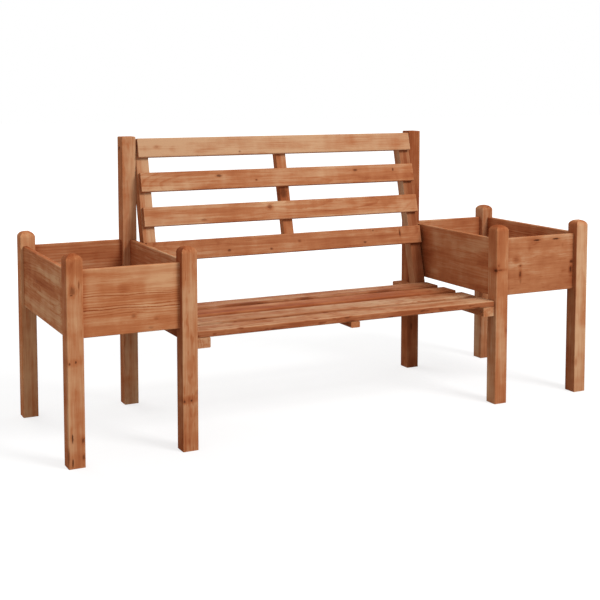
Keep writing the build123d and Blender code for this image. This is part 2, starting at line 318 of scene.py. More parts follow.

# How much more stain a board took than most, or less where it came out pale: on all of it, and what its
# sides and its ends add to that. The sides' column is partly painted shade: darker sides stand for shade
# that falls on them, paler ones for light
PLAIN_TONE = (0.0, 0.0, 0.3)
TONES = {
    "left_front_outer_post": (-0.14, 0.17, 0.3),
    "left_front_inner_post": (-0.32, 0.48, 0.3),
    "left_back_outer_post": (-0.36, 0.30, 0.3),
    "left_back_tall_post": (-0.34, 0.20, 0.3),
    "right_front_outer_post": (-0.45, 0.62, 0.3),
    "right_front_inner_post": (-0.03, -0.12, 0.3),
    "right_back_outer_post": (0.00, 0.00, 0.3),
    "right_back_tall_post": (0.28, 0.05, 0.3),
    "left_front_panel": (-0.32, 0.13, 0.3),
    "left_outer_panel": (-0.27, 0.16, 0.3),
    "right_front_panel": (-0.04, 0.08, 0.3),
    "right_inner_panel": (-0.12, 0.00, 0.3),
    "back_slat_4": (-0.40, 0.06, 0.3),
    "back_slat_3": (-0.17, 0.22, 0.3),
    "back_slat_2": (-0.18, 0.24, 0.3),
    "back_slat_1": (-0.04, 0.30, 0.3),
    "back_batten_left": (-0.28, 0.30, 0.3),
    "back_batten_centre": (0.04, 0.10, 0.3),
    # Painted shade: the right batten's tone darkens its front, which lies in the slats' shade; its sides'
    # column pales its sides again
    "back_batten_right": (0.44, -0.36, 0.3),
    "seat_slat_4": (0.05, 0.00, 0.3),
    "seat_slat_3": (0.23, 0.02, 0.3),
    "seat_slat_2": (-0.26, 0.20, 0.3),
    "seat_slat_1": (-0.34, 0.61, 0.3),
    # Painted shade: the rails' tone darkens them for the shade under the seat, most on the left and centre
    # rails; their ends' column pales the front ends again
    "seat_rail_left": (0.25, 0.00, -0.38),
    "seat_rail_centre": (0.25, 0.00, -0.03),
    "seat_rail_right": (0.05, 0.00, -0.08),
}

# How much redder a board's wood is than most, or greyer
WARMTHS = {
    "left_front_outer_post": 0.06,
    "left_front_inner_post": 0.03,
    "left_back_outer_post": 0.10,
    "left_back_tall_post": 0.02,
    "left_front_panel": 0.07,
    "left_outer_panel": 0.07,
    "right_inner_panel": 0.04,
    "right_front_inner_post": 0.02,
    "right_front_panel": -0.02,
    "right_back_tall_post": -0.04,
    "right_back_outer_post": -0.06,
    "back_batten_right": -0.11,
    "back_slat_4": -0.02,
    "back_slat_1": -0.03,
    "seat_slat_1": -0.03,
    "seat_slat_2": -0.06,
    "seat_slat_3": 0.02,
    "seat_slat_4": -0.09,
}

# How clearly a board shows its rings, its streaks and its short dark flecks
PLAIN_LOOK = (0.7, 0.9, 0.12)
LOOKS = {
    "left_front_outer_post": (0.25, 0.55, 0.20),
    "left_front_inner_post": (0.25, 0.60, 0.40),
    "left_back_outer_post": (0.50, 0.80, 0.10),
    "left_back_tall_post": (0.50, 0.80, 0.10),
    "right_front_inner_post": (0.15, 0.45, 0.10),
    "right_front_outer_post": (0.45, 0.60, 0.10),
    "right_back_tall_post": (0.80, 1.30, 0.20),
    "left_front_panel": (1.90, 0.55, 0.10),
    "left_outer_panel": (0.60, 0.90, 0.20),
    "right_front_panel": (0.10, 0.40, 0.30),
    "right_inner_panel": (0.35, 0.60, 0.10),
    "back_slat_4": (0.40, 0.80, 0.10),
    "back_slat_3": (0.60, 0.80, 0.10),
    "back_slat_2": (0.55, 0.80, 0.10),
    "back_slat_1": (0.65, 0.80, 0.10),
    "seat_slat_1": (0.60, 1.00, 1.00),
    "seat_slat_2": (0.60, 1.00, 0.90),
    "seat_slat_3": (0.80, 1.20, 0.30),
    "seat_slat_4": (0.60, 1.00, 0.60),
}

# How much darker the ends of a board are, and how far from the end, by the ending of its name: on posts
# partly stain that the end grain drank and partly painted shade at their feet, on panels painted shade in
# the corners where they meet the posts
NO_END_DARKENING = (0.0, 1.0)
END_SOAK_AND_SHADE = {"outer_post": (0.08, 0.16), "inner_post": (0.08, 0.16), "panel": (0.45, 0.045)}

# How far the heart of the log bends away along a board, which closes its rings into long ovals
SWEEPS = {
    "left_outer_panel": 4.0,
    "back_slat_4": 0.3,
    "back_slat_3": 0.4,
    "back_slat_2": 0.5,
    "back_slat_1": 0.4,
}

# Boards whose rings show only in one band, in millimetres: its place and reach across the board, and how far
# off the log's heart lay
PLAIN_BAND = (0, 1000, None)
BANDS = {"left_front_panel": (-2, 50, 160)}


def middle_of(node):
    """Middle of a board's box."""
    low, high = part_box(node)
    return (low + high) / 2


def lean_direction():
    """The direction in which the backrest rises, from its lowest to its highest slat."""
    return (middle_of(f"back_slat_{SLAT_COUNT}") - middle_of("back_slat_1")).normalized()


LENGTHWISE = Vector((1, 0, 0))
DEPTHWISE = Vector((0, 1, 0))
UPRIGHT = Vector((0, 0, 1))
LEAN = lean_direction()

# Marks lie on the face of a board that looks this way
SHOWN_SIDE = Vector((-0.5, -1, 0.6))


def grain_axes(grain, across):
    """A board's own axes as columns: along the grain, across its face and through it."""
    return Matrix((grain, across, grain.cross(across))).transposed()


POST_AXES = grain_axes(UPRIGHT, LENGTHWISE)
CROSS_PANEL_AXES = grain_axes(LENGTHWISE, UPRIGHT)
SIDE_PANEL_AXES = grain_axes(DEPTHWISE, UPRIGHT)
SEAT_AXES = grain_axes(LENGTHWISE, DEPTHWISE)
BACK_SLAT_AXES = grain_axes(LENGTHWISE, LEAN)
BATTEN_AXES = grain_axes(LEAN, LENGTHWISE)


class BenchStain(bpy.types.PropertyGroup):
    """Colours and grain of the stained softwood."""

    pale_wood: FloatVectorProperty(
        name="Pale Wood", description="Where the wood took little stain",
        subtype="COLOR", size=4, min=0, max=1, default=(0.572, 0.325, 0.178, 1),
    )
    warm_wood: FloatVectorProperty(
        name="Warm Wood", description="The stain on most of a face",
        subtype="COLOR", size=4, min=0, max=1, default=(0.430, 0.160, 0.067, 1),
    )
    red_wood: FloatVectorProperty(
        name="Red Wood", description="Where the wood drank much stain",
        subtype="COLOR", size=4, min=0, max=1, default=(0.300, 0.080, 0.028, 1),
    )
    # Also the darkest colour of the painted shade that some marks lay on
    knot_wood: FloatVectorProperty(
        name="Knot Wood", description="Heart of a knot or the dark of a split",
        subtype="COLOR", size=4, min=0, max=1, default=(0.065, 0.018, 0.008, 1),
    )
    ring_width: FloatProperty(
        name="Ring Width", description="Growth of the tree in one year",
        unit="LENGTH", min=0.001, default=0.008,
    )
    figure: FloatProperty(
        name="Figure", description="How strongly the growth rings show",
        subtype="FACTOR", min=0, max=1, default=0.65,
    )
    # Pale edges: stain thinned by wear, and a painted highlight along the edges
    edge_wear_and_highlight: FloatProperty(
        name="Edge Wear And Highlight", description="How much the stain is thinned along edges",
        subtype="FACTOR", min=0, max=1, default=0.22,
    )
    grain_depth: FloatProperty(
        name="Grain Depth", description="Height of the grain on a planed face",
        unit="LENGTH", min=0, default=0.0008,
    )


class BenchBatten(bpy.types.PropertyGroup):
    """Sizes of the backrest's centre batten, which is fuller than its solid."""

    width: FloatProperty(
        name="Width", description="Size of the batten along the backrest",
        unit="LENGTH", min=0.01, default=0.040,
    )
    depth: FloatProperty(
        name="Depth", description="How far the batten stands out behind the slats",
        unit="LENGTH", min=0.01, default=0.029,
    )
    edge_radius: FloatProperty(
        name="Edge Radius", description="Round-over of the batten's long edges",
        unit="LENGTH", min=0.0001, default=0.003,
    )


class BenchScrews(bpy.types.PropertyGroup):
    """Sizes of the small wood screws."""

    head_radius: FloatProperty(
        name="Head Radius", description="Radius of a screw's head",
        unit="LENGTH", min=0.001, default=0.0042,
    )
    head_height: FloatProperty(
        name="Head Height", description="How far a screw's head stands out of the wood",
        unit="LENGTH", min=0.0001, default=0.0012,
    )
    recess_depth: FloatProperty(
        name="Recess Depth", description="Depth of the cross recess in a screw's head",
        unit="LENGTH", min=0.0001, default=0.0010,
    )
    zinc: FloatVectorProperty(
        name="Zinc", description="Black zinc on sunk bolts and small screws",
        subtype="COLOR", size=4, min=0, max=1, default=(0.016, 0.014, 0.012, 1),
    )
    coat: FloatVectorProperty(
        name="Coat", description="Brown coat on the bolts and screws that lie flush",
        subtype="COLOR", size=4, min=0, max=1, default=(0.340, 0.125, 0.055, 1),
    )


class BenchStage(bpy.types.PropertyGroup):
    """Floor, lights and camera."""

    floor_size: FloatProperty(
        name="Floor Size", description="Side of the studio floor",
        unit="LENGTH", min=1, default=60,
    )
    floor_tint: FloatVectorProperty(
        name="Floor Tint", description="Colour of the studio floor",
        subtype="COLOR", size=4, min=0, max=1, default=(0.42, 0.42, 0.42, 1),
    )
    sky_strength: FloatProperty(
        name="Sky Strength", description="Light from all around",
        min=0, default=0.62,
    )
    key_power: FloatProperty(
        name="Key Power", description="Power of the large lamp in front, to the right",
        unit="POWER", min=0, default=236,
    )
    rim_power: FloatProperty(
        name="Rim Power", description="Power of the lamp behind the bench",
        unit="POWER", min=0, default=90,
    )
    camera_place: FloatVectorProperty(
        name="Camera Place", description="Where the camera stands",
        subtype="TRANSLATION", unit="LENGTH", size=3, default=(-1.7650, -3.4229, 1.0980),
    )
    camera_yaw: FloatProperty(
        name="Camera Yaw", description="Turn of the camera from straight ahead to the right",
        subtype="ANGLE", default=0.46417,
    )
    camera_pitch: FloatProperty(
        name="Camera Pitch", description="Turn of the camera down from level",
        subtype="ANGLE", default=0.08240,
    )
    lens: FloatProperty(
        name="Lens", description="Focal length of the camera",
        unit="CAMERA", min=1, default=67.29,
    )
    lens_shift: FloatProperty(
        name="Lens Shift", description="Upward shift of the picture, in picture widths",
        default=-0.20,
    )


class Nodes:
    """Adds nodes to one tree. A value may be a socket, which gets linked, or a plain number."""

    def __init__(self, tree):
        self.tree = tree

    def add(self, kind, **settings):
        made = self.tree.nodes.new("ShaderNode" + kind)
        for name, value in settings.items():
            setattr(made, name, value)
        return made

    def feed(self, socket, value):
        if isinstance(value, bpy.types.NodeSocket):
            self.tree.links.new(value, socket)
        else:
            socket.default_value = value

    def fill(self, made, values):
        """Feed a node's inputs by name."""
        for name, value in values.items():
            self.feed(made.inputs[name], value)

    def run(self, made, *values):
        """Feed a node's inputs in order, and give its first output."""
        for socket, value in zip(made.inputs, values):
            self.feed(socket, value)
        return made.outputs[0]

    def math(self, operation, *values):
        return self.run(self.add("Math", operation=operation), *values)

    def join(self, *values):
        return self.run(self.add("CombineXYZ"), *values)

    def vector(self, operation, first, second=None, scale=None):
        made = self.add("VectorMath", operation=operation)
        self.feed(made.inputs[0], first)
        if second is not None:
            self.feed(made.inputs[1], second)
        if scale is not None:
            self.feed(made.inputs["Scale"], scale)
        return made.outputs["Value" if operation == "LENGTH" else "Vector"]

    def facing(self, normal, axis):
        """One where a surface faces along an axis, either way, and nothing where it turns well off it."""
        made = self.add("VectorMath", operation="DOT_PRODUCT")
        self.feed(made.inputs[0], normal)
        self.feed(made.inputs[1], axis)
        return self.ease(self.math("ABSOLUTE", made.outputs["Value"]), 0.45, 0.9)

    def parts(self, vector):
        made = self.add("SeparateXYZ")
        self.feed(made.inputs[0], vector)
        return made.outputs

    def noise(self, vector, fineness, detail):
        made = self.add("TexNoise", noise_dimensions="3D")
        self.feed(made.inputs["Vector"], self.vector("MULTIPLY", vector, fineness))
        made.inputs["Scale"].default_value = 1
        made.inputs["Detail"].default_value = detail
        return made.outputs[0]

    def ease(self, value, low, high, start=0.0, end=1.0):
        made = self.add("MapRange", interpolation_type="SMOOTHSTEP")
        return self.run(made, value, low, high, start, end)

    def ramp(self, value, low, high):
        """How far a value has come from low to high, held to 0 and 1 beyond them."""
        made = self.add("MapRange", interpolation_type="LINEAR", clamp=True)
        return self.run(made, value, low, high)

    def spread(self, value, amount):
        """A noise value turned into a push either way."""
        return self.math("MULTIPLY", self.math("SUBTRACT", value, 0.5), amount)

    def total(self, *values):
        summed = values[0]
        for value in values[1:]:
            summed = self.math("ADD", summed, value)
        return summed

    def bump(self, height, strength, distance):
        made = self.add("Bump")
        self.fill(made, {"Strength": strength, "Distance": distance, "Height": height})
        return made.outputs["Normal"]

    def blend(self, factor, first, second):
        made = self.add("Mix", data_type="RGBA", blend_type="MIX")
        self.feed(made.inputs[0], factor)
        self.feed(made.inputs[6], first)
        self.feed(made.inputs[7], second)
        return made.outputs[2]


def new_group(name, inputs, outputs):
    """An empty shader node group with named sockets, and its input and output nodes."""
    group = bpy.data.node_groups.new(name, "ShaderNodeTree")
    for direction, sockets in (("INPUT", inputs), ("OUTPUT", outputs)):
        for socket_name, kind in sockets.items():
            group.interface.new_socket(socket_name, in_out=direction, socket_type="NodeSocket" + kind)
    given = group.nodes.new("NodeGroupInput").outputs
    result = group.nodes.new("NodeGroupOutput").inputs
    return group, given, result


def build_mark_group():
    """A knot, a split or a patch of painted shade on a board: the dark heart, and the halo that bends the
    grain round it.
    """
    group, given, result = new_group(
        "grain_and_shade_mark",
        {
            "Vector": "Vector", "Place": "Vector", "Radius": "Float", "Stretch": "Float",
            "Heart Depth": "Float", "Halo Depth": "Float",
            "Heart": "Float", "Halo": "Float", "Swirl": "Float",
        },
        {"Heart": "Float", "Halo": "Float", "Swirl": "Float"},
    )
    n = Nodes(group)
    away = n.vector("SUBTRACT", given["Vector"], given["Place"])
    squeeze = n.join(n.math("DIVIDE", 1, given["Stretch"]), 1, 0.3)
    reach = n.vector("LENGTH", n.vector("MULTIPLY", away, squeeze))
    ragged = n.spread(n.noise(given["Vector"], *MARK_NOISE), 0.8)
    reach = n.math("ADD", n.math("DIVIDE", reach, given["Radius"]), ragged)
    heart = n.math("MULTIPLY", n.ease(reach, 0.35, 1.0, 1, 0), given["Heart Depth"])
    around = n.ease(reach, 0.3, 2.6, 1, 0)
    halo = n.math("MULTIPLY", around, given["Halo Depth"])
    swirl = n.math("MULTIPLY", around, n.math("ADD", given["Heart Depth"], 0.3))
    n.feed(result["Heart"], n.math("MAXIMUM", heart, given["Heart"]))
    n.feed(result["Halo"], n.math("MAXIMUM", halo, given["Halo"]))
    n.feed(result["Swirl"], n.math("MAXIMUM", swirl, given["Swirl"]))
    return group


def build_wood_group():
    """Stained softwood, cut from a log whose heart lies beside the board, with painted sheen, painted shade
    and a painted highlight in its colour.
    """
    group, given, result = new_group(
        "stained_softwood",
        {
            "Vector": "Vector", "Half Size": "Vector", "Heart": "Vector", "Seed": "Float",
            "Ring Width": "Float", "Sweep": "Float", "Wander": "Float",
            "Band Place": "Float", "Band Reach": "Float", "Band Clear": "Float",
            "Figure": "Float", "Streaks": "Float", "Flecks": "Float",
            "Tone": "Float", "Warmth": "Float", "Face Tone": "Float", "End Face": "Float",
            "End Soak And Shade": "Float", "End Soak And Shade Reach": "Float", "Edge Wear And Highlight": "Float",
            "Mark Heart": "Float", "Halo": "Float", "Swirl": "Float",
            "Pale Wood": "Color", "Warm Wood": "Color", "Red Wood": "Color", "Knot Wood": "Color",
        },
        {"Color": "Color", "Roughness": "Float", "Height": "Float"},
    )
    n = Nodes(group)
    place = given["Vector"]
    own = n.vector("ADD", place, n.vector("SCALE", (3.17, 1.73, 2.39), scale=given["Seed"]))
    along, across, _ = n.parts(place)
    noise = {name: n.noise(own, *pattern) for name, pattern in WOOD_NOISE.items()}

    # Growth rings, as a cut through a log that wanders along the board
    wander = n.spread(noise["wander"], given["Wander"])
    ripple = n.spread(noise["ripple"], RIPPLE_PUSH)
    bend = n.math("MULTIPLY", given["Sweep"], n.math("POWER", n.math("ABSOLUTE", along), 4))
    _, off_y, off_z = n.parts(n.vector("SUBTRACT", place, given["Heart"]))
    off_z = n.total(off_z, wander, bend)
    radius = n.math("SQRT", n.total(n.math("MULTIPLY", off_y, off_y), n.math("MULTIPLY", off_z, off_z)))
    radius = n.total(radius, ripple, n.math("MULTIPLY", given["Swirl"], KNOT_PUSH))
    years = n.math("DIVIDE", radius, given["Ring Width"])
    season = n.math("FRACT", years)
    late = n.math("MULTIPLY", n.ease(season, 0.50, 0.88), n.ease(season, 0.92, 1.0, 1, 0))
    year = n.join(n.math("FLOOR", years), given["Seed"])
    strength = n.ease(n.noise(year, *YEAR_NOISE), 0.3, 0.7, 0.2, 1.0)
    clear = n.math("MAXIMUM", n.ease(noise["clear"], 0.40, 0.62, 0.12, 1.0), given["Band Clear"])
    off_band = n.math("ABSOLUTE", n.math("SUBTRACT", across, given["Band Place"]))
    off_band = n.math("DIVIDE", off_band, given["Band Reach"])
    clear = n.math("MULTIPLY", clear, n.ease(off_band, 0.5, 1.0, 1, 0))
    ring = n.math("MULTIPLY", late, n.math("MULTIPLY", strength, clear))

    # Edges, where the second nearest face of the board is close too: paler there, as wear and as a painted
    # highlight
    left_x, left_y, left_z = n.parts(n.vector("SUBTRACT", given["Half Size"], n.vector("ABSOLUTE", place)))
    nearest = n.math("MINIMUM", left_x, left_y)
    further = n.math("MAXIMUM", left_x, left_y)
    edge = n.math("MAXIMUM", nearest, n.math("MINIMUM", further, left_z))
    edge = n.math("ADD", edge, n.spread(noise["ragged_edge"], PALE_EDGE_WOBBLE))
    worn_and_highlit = n.math("MULTIPLY", n.ease(edge, 0.0, PALE_EDGE_WIDTH, 1, 0), given["Edge Wear And Highlight"])

    # How dark the wood is: stain that it took in clouds, streaks and fibres along the grain, a painted
    # shimmer of sheen across it, side tones and darker ends that are partly painted shade, and pale edges of
    # wear and painted highlight
    cloud, streak, line, fibre, painted_shimmer = (
        n.spread(noise[name], DARKNESS_MOVES[name]) for name in ("cloud", "streak", "line", "fibre", "painted_shimmer")
    )
    fleck = n.math("MULTIPLY", n.ease(noise["fleck"], 0.60, 0.72), given["Flecks"])
    # Darker ends: end grain that drank stain, and painted shade at the posts' feet and in the panels'
    # corners
    soak_and_shade_mask = n.ease(left_x, 0.0, given["End Soak And Shade Reach"], 1, 0)
    darkness = n.total(
        MEAN_STAIN,
        given["Tone"],
        given["Face Tone"],
        cloud,
        n.math("MULTIPLY", streak, given["Streaks"]),
        n.math("MULTIPLY", n.total(line, fibre), n.ease(given["Streaks"], 0.0, 1.0, 0.5, 1.0)),
        painted_shimmer,
        n.math("MULTIPLY", n.math("MULTIPLY", ring, given["Figure"]), DARKNESS_MOVES["ring"]),
        n.math("MULTIPLY", given["Halo"], DARKNESS_MOVES["halo"]),
        n.math("MULTIPLY", fleck, DARKNESS_MOVES["fleck"]),
        n.math("MULTIPLY", worn_and_highlit, DARKNESS_MOVES["worn_and_highlit"]),
        n.math("MULTIPLY", soak_and_shade_mask, given["End Soak And Shade"]),
    )
    colour = n.blend(n.ramp(darkness, 0.0, 0.5), given["Pale Wood"], given["Warm Wood"])
    colour = n.blend(n.ramp(darkness, 0.5, 1.0), colour, given["Red Wood"])
    colour = n.blend(n.ramp(darkness, 1.0, 2.2), colour, given["Knot Wood"])
    tint = n.join(n.math("ADD", 1, given["Warmth"]), 1, n.math("SUBTRACT", 1, given["Warmth"]))
    colour = n.vector("MULTIPLY", colour, tint)
    # Mark hearts darken towards the knot colour: knots and splits, and the painted shade along seat slat 4's
    # front edge
    n.feed(result["Color"], n.blend(n.math("MULTIPLY", given["Mark Heart"], 0.9), colour, given["Knot Wood"]))
    dull_end = n.math("MULTIPLY", given["End Face"], 0.15)
    n.feed(result["Roughness"], n.total(0.58, n.spread(noise["cloud"], 0.25), dull_end))
    n.feed(result["Height"], n.total(n.spread(noise["fibre"], 0.9), n.math("MULTIPLY", ring, 0.35)))
    return group


def shared_group(name, build):
    """The node group of that name, built the first time it is needed."""
    return bpy.data.node_groups.get(name) or build()


def new_material(name):
    """A new material, a helper for its nodes, and its shader."""
    material = bpy.data.materials.new(name)
    material.use_nodes = True
    return material, Nodes(material.node_tree), material.node_tree.nodes["Principled BSDF"]


def shown_board(node):
    """The object that shows a board: the CAD node, or the piece that stands for it."""
    return bpy.data.objects[STAND_INS[node]] if node in STAND_INS else frame["nodes"][node]


def board_frame(board, axes):
    """A board's middle, and its half size along its own axes."""
    turned = [axes.transposed() @ v.co for v in board.data.vertices]
    low = Vector(min(point[i] for point in turned) for i in range(3))
    high = Vector(max(point[i] for point in turned) for i in range(3))
    return axes @ ((low + high) / 2), (high - low) / 2


def add_marks(n, node, place, face):
    """Lay a board's marks on one face, and give the depths of their hearts, halos and swirls."""
    heart, halo, swirl = 0.0, 0.0, 0.0
    for along, across, radius, stretch, heart_depth, halo_depth in MARKS.get(node, ()):
        mark = n.add("Group", node_tree=shared_group("grain_and_shade_mark", build_mark_group))
        n.fill(mark, {
            "Vector": place,
            "Place": (along * MM, across * MM, face),
            "Radius": radius * MM,
            "Stretch": stretch,
            "Heart Depth": heart_depth,
            "Halo Depth": halo_depth,
            "Heart": heart,
            "Halo": halo,
            "Swirl": swirl,
        })
        heart, halo, swirl = (mark.outputs[name] for name in ("Heart", "Halo", "Swirl"))
    return heart, halo, swirl


def stain_board(context, node, axes):
    """Give one board its own cut of stained softwood, with the marks that it shows."""
    stain = context.scene.bench_stain
    draw = random.Random(node)
    tone, side_tone_and_shade, end_tone = TONES.get(node, PLAIN_TONE)
    if node not in TONES:
        tone += draw.uniform(*TONE_SPREAD)
    board = shown_board(node)
    middle, half = board_frame(board, axes)
    material, n, shader = new_material(f"{node}_wood")
    sheen = SEAT_SHEEN if node.startswith("seat_slat") else WOOD_SHEEN
    shader.inputs["Specular IOR Level"].default_value = sheen

    coordinates = n.add("TexCoord")
    mapping = n.add("Mapping", vector_type="TEXTURE")
    n.feed(mapping.inputs["Vector"], coordinates.outputs["Object"])
    mapping.inputs["Location"].default_value = middle
    mapping.inputs["Rotation"].default_value = axes.to_euler()
    place = mapping.outputs[0]
    end_face = n.facing(coordinates.outputs["Normal"], axes.col[0])
    side_face = n.facing(coordinates.outputs["Normal"], axes.col[1])
    # Sides and ends: end grain that took more stain, and side tones that are partly painted shade
    face_tone_and_shade = n.total(n.math("MULTIPLY", side_face, side_tone_and_shade), n.math("MULTIPLY", end_face, end_tone))
    heart, halo, swirl = add_marks(n, node, place, math.copysign(half.z, axes.col[2].dot(SHOWN_SIDE)))

    wood = n.add("Group", node_tree=shared_group("stained_softwood", build_wood_group))
    log_side = draw.choice((-1, 1))
    log_across = draw.uniform(*HEART_ACROSS) * half.y
    log_away = log_side * (half.z + draw.uniform(*HEART_AWAY))
    band_place, band_reach, band_heart = BANDS.get(node, PLAIN_BAND)
    if band_heart is not None:
        log_across = band_heart * MM
    rings, streaks, flecks = LOOKS.get(node, PLAIN_LOOK)
    # How much darker the ends are, by the board's name: partly stain in the end grain, partly painted shade
    end_soak_and_shade, end_soak_and_shade_reach = next((value for ending, value in END_SOAK_AND_SHADE.items() if node.endswith(ending)), NO_END_DARKENING)
    n.fill(wood, {
        "Vector": place,
        "Half Size": half,
        "Heart": (0, log_across, log_away),
        "Seed": draw.uniform(*SEEDS),
        "Ring Width": stain.ring_width * draw.uniform(*RING_SPREAD),
        "Sweep": -SWEEPS.get(node, draw.uniform(*SWEEP_SPREAD)) * log_side,
        "Wander": SWEPT_WANDER if node in SWEEPS else WANDER,
        "Band Place": band_place * MM,
        "Band Reach": band_reach * MM,
        "Band Clear": 1.0 if node in BANDS else 0.0,
        "Figure": stain.figure * rings,
        "Streaks": streaks,
        "Flecks": flecks,
        "Tone": tone,
        "Warmth": WARMTHS.get(node, 0.0),
        "Face Tone": face_tone_and_shade,
        "End Face": end_face,
        "End Soak And Shade": end_soak_and_shade,
        "End Soak And Shade Reach": end_soak_and_shade_reach,
        "Edge Wear And Highlight": stain.edge_wear_and_highlight,
        "Mark Heart": heart,
        "Halo": halo,
        "Swirl": swirl,
        "Pale Wood": stain.pale_wood,
        "Warm Wood": stain.warm_wood,
        "Red Wood": stain.red_wood,
        "Knot Wood": stain.knot_wood,
    })
    n.fill(shader, {
        "Base Color": wood.outputs["Color"],
        "Roughness": wood.outputs["Roughness"],
        "Normal": n.bump(wood.outputs["Height"], WOOD_BUMP, stain.grain_depth),
    })
    dress(board, material)


def dress(piece, material):
    """Put one material on a whole piece."""
    piece.data.materials.clear()
    piece.data.materials.append(material)


def fastener_finish(name, colour, metallic):
    """A finish for bolts and screws, darker in patches and rubbed paler in others."""
    if name in bpy.data.materials:
        return bpy.data.materials[name]
    material, n, shader = new_material(name)
    shader.inputs["Metallic"].default_value = metallic
    shader.inputs["Specular IOR Level"].default_value = FASTENER_SHEEN
    place = n.add("TexCoord").outputs["Object"]
    patch = n.ease(n.noise(place, (260, 260, 260), 3), 0.35, 0.65)
    rubbed = n.ease(n.noise(place, (900, 900, 900), 2), 0.55, 0.75)
    dark = tuple(part * 0.6 for part in colour[:3]) + (1,)
    pale = tuple(part * 1.8 for part in colour[:3]) + (1,)
    shade = n.blend(n.math("MULTIPLY", patch, 0.5), colour, dark)
    n.fill(shader, {
        "Base Color": n.blend(n.math("MULTIPLY", rubbed, 0.5), shade, pale),
        "Roughness": n.math("ADD", 0.45, n.math("MULTIPLY", patch, 0.25)),
        "Normal": n.bump(patch, FASTENER_BUMP, PATCH_HEIGHT),
    })
    return material


def black_zinc(context):
    """The black zinc of the sunk bolts and the small screws."""
    return fastener_finish("black_zinc", tuple(context.scene.bench_screws.zinc), 1.0)


def brown_coat(context):
    """The brown coat of the bolts and screws whose heads lie flush."""
    return fastener_finish("brown_coat", tuple(context.scene.bench_screws.coat), 0.0)


def add_piece(context, name, bm):
    """A new object from a finished bmesh."""
    mesh = bpy.data.meshes.new(name)
    bm.to_mesh(mesh)
    bm.free()
    piece = bpy.data.objects.new(name, mesh)
    context.scene.collection.objects.link(piece)
    return piece


def extrude_loop(bm, loop, rise, shrink):
    """Extrude a loop of edges up or down while it shrinks, and give the new loop."""
    made = bmesh.ops.extrude_edge_only(bm, edges=loop)["geom"]
    verts = [part for part in made if isinstance(part, bmesh.types.BMVert)]
    bmesh.ops.scale(bm, vec=(shrink, shrink, 1), verts=verts)
    bmesh.ops.translate(bm, vec=(0, 0, rise), verts=verts)
    return [edge for edge in bm.edges if all(vert in verts for vert in edge.verts)]


def screw_head_mesh(screws):
    """A low round head with a cross recess, standing on the ground plane at the origin."""
    radius, height = screws.head_radius, screws.head_height
    arm, slot = radius * 0.55, radius * 0.16
    bm = bmesh.new()
    rim = bmesh.ops.create_circle(bm, segments=12, radius=radius)["verts"]
    loop = list({edge for vert in rim for edge in vert.link_edges})
    # First the side of the head, then its shoulder
    for rise, shrink in ((height * 0.45, 0.97), (height * 0.55, 0.78)):
        loop = extrude_loop(bm, loop, rise, shrink)
    corner = ((arm, slot), (slot, slot), (slot, arm))
    outline = []
    for quarter in range(4):
        turn = Matrix.Rotation(quarter * math.pi / 2, 3, "Z")
        outline += [turn @ Vector((x, y, height)) for x, y in corner]
    cross = [bm.verts.new(point) for point in outline]
    cross_loop = [bm.edges.new((cross[i - 1], cross[i])) for i in range(len(cross))]
    bmesh.ops.bridge_loops(bm, edges=loop + cross_loop)
    recess_floor = extrude_loop(bm, cross_loop, -screws.recess_depth, 0.8)
    bmesh.ops.edgeloop_fill(bm, edges=recess_floor)
    bmesh.ops.recalc_face_normals(bm, faces=bm.faces)
    mesh = bpy.data.meshes.new("screw_head")
    bm.to_mesh(mesh)
    bm.free()
    return mesh


def surface_hit(node, start, direction):
    """Where a ray meets a board, and which way the board faces there."""
    board = shown_board(node).data
    tree = BVHTree.FromPolygons([v.co for v in board.vertices], [p.vertices for p in board.polygons])
    place, facing, _, _ = tree.ray_cast(start, direction)
    if place is None:
        raise RuntimeError(f"no screw can reach {node}")
    return place, facing


def drive_screws(context, name, lines):
    """One piece with a screw head wherever a line meets its board."""
    head = screw_head_mesh(context.scene.bench_screws)
    draw = random.Random(name)
    bm = bmesh.new()
    for node, start, direction in lines:
        place, facing = surface_hit(node, start, direction)
        before = len(bm.verts)
        bm.from_mesh(head)
        bm.verts.ensure_lookup_table()
        turn = Matrix.Rotation(draw.uniform(0, math.pi), 4, "Z")
        stand = Matrix.Translation(place) @ facing.to_track_quat("Z", "Y").to_matrix().to_4x4()
        bmesh.ops.transform(bm, matrix=stand @ turn, verts=bm.verts[before:])
    bpy.data.meshes.remove(head)
    piece = add_piece(context, name, bm)
    dress(piece, black_zinc(context))
    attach(piece, "root")


def batten_screw_lines():
    """Lines from behind onto the battens, two wherever a back slat crosses one."""
    behind = BATTEN_AXES.col[2]
    for place in SUPPORT_PLACES:
        batten = f"back_batten_{place}"
        x = middle_of(batten).x
        for number in range(1, SLAT_COUNT + 1):
            slat = middle_of(f"back_slat_{number}")
            for step in BATTEN_SCREW_STEPS:
                spot = Vector((x + step, slat.y, slat.z)) - LEAN * BATTEN_SCREW_DROP
                yield batten, spot + behind * BEHIND_BACKREST, -behind


def rail_screw_lines():
    """Lines from below onto the seat rails, two under every seat slat."""
    for place in SUPPORT_PLACES:
        rail = f"seat_rail_{place}"
        x = middle_of(rail).x
        for number in range(1, SLAT_COUNT + 1):
            y = middle_of(f"seat_slat_{number}").y
            for step in RAIL_SCREW_STEPS:
                yield rail, Vector((x, y + step, UNDER_SEAT)), UPRIGHT


def cleat_screw_lines():
    """Lines from inside the planters onto the cleats."""
    for side in SIDES:
        inside = middle_of(f"{side}_floor_board_1").x
        for place in CLEAT_PLACES:
            cleat = f"{side}_{place}_cleat"
            spot = middle_of(cleat)
            outwards = LENGTHWISE * math.copysign(1, spot.x - inside)
            for y in CLEAT_SCREW_DEPTHS:
                yield cleat, Vector((inside, y, spot.z)), outwards


